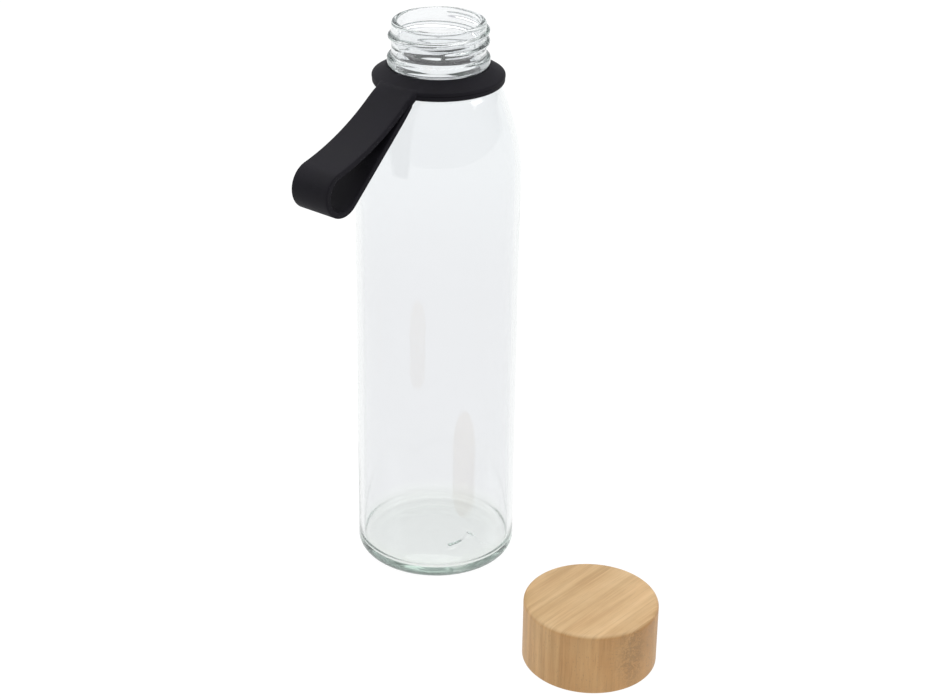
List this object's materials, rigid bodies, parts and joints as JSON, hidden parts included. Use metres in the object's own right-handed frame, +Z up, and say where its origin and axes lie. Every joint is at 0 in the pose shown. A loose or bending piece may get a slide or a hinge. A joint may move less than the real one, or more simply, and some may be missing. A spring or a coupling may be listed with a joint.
{
  "type": "water bottle with strap and screw lid",
  "caption": "Slim clear glass water bottle with a threaded neck, a folded silicone carry strap round it, and a round bamboo screw lid standing beside it.",
  "frame": {"origin": "the middle of the bottle's foot, on the surface that it stands on", "axes": "+Z up along the bottle's axis; the carry strap points along -Y; +X is to the right of it, where the lid stands"},
  "size_m": [0.1507, 0.1008, 0.2185],
  "materials": {
    "glass": "clear polished soda-lime glass with a faint green tint where it is thick",
    "black_silicone": "matt moulded black silicone",
    "bamboo": "turned laminated bamboo, sanded, with a thin satin oil",
    "liner_plastic": "moulded off-white polypropylene",
    "seal_silicone": "translucent white silicone"
  },
  "bodies": {
    "bottle": {"glass_bottle": "glass"},
    "strap_collar": {"strap_ring_upper": "black_silicone", "strap_ring_lower": "black_silicone"},
    "strap_band": {"strap_loop": "black_silicone"},
    "lid": {"lid_shell": "bamboo", "lid_liner": "liner_plastic", "lid_seal": "seal_silicone"}
  },
  "joints": [
    {"name": "strap_turn", "type": "hinge", "parent": "bottle", "child": "strap_collar", "pos_m": [0, 0, 0.199], "axis": [0, 0, 1], "continuous": true},
    {"name": "strap_flex", "type": "hinge", "parent": "strap_collar", "child": "strap_band", "pos_m": [0, -0.02605, 0.1975], "axis": [-1, 0, 0], "range_deg": [-20, 110], "stiffness_Nm_per_rad": 0.03, "springref_deg": 2.12},
    {"name": "lid_lift", "type": "slide", "parent": "bottle", "child": "lid", "axis": [0, 0, 1], "range_m": [0, 0.25]}
  ]
}
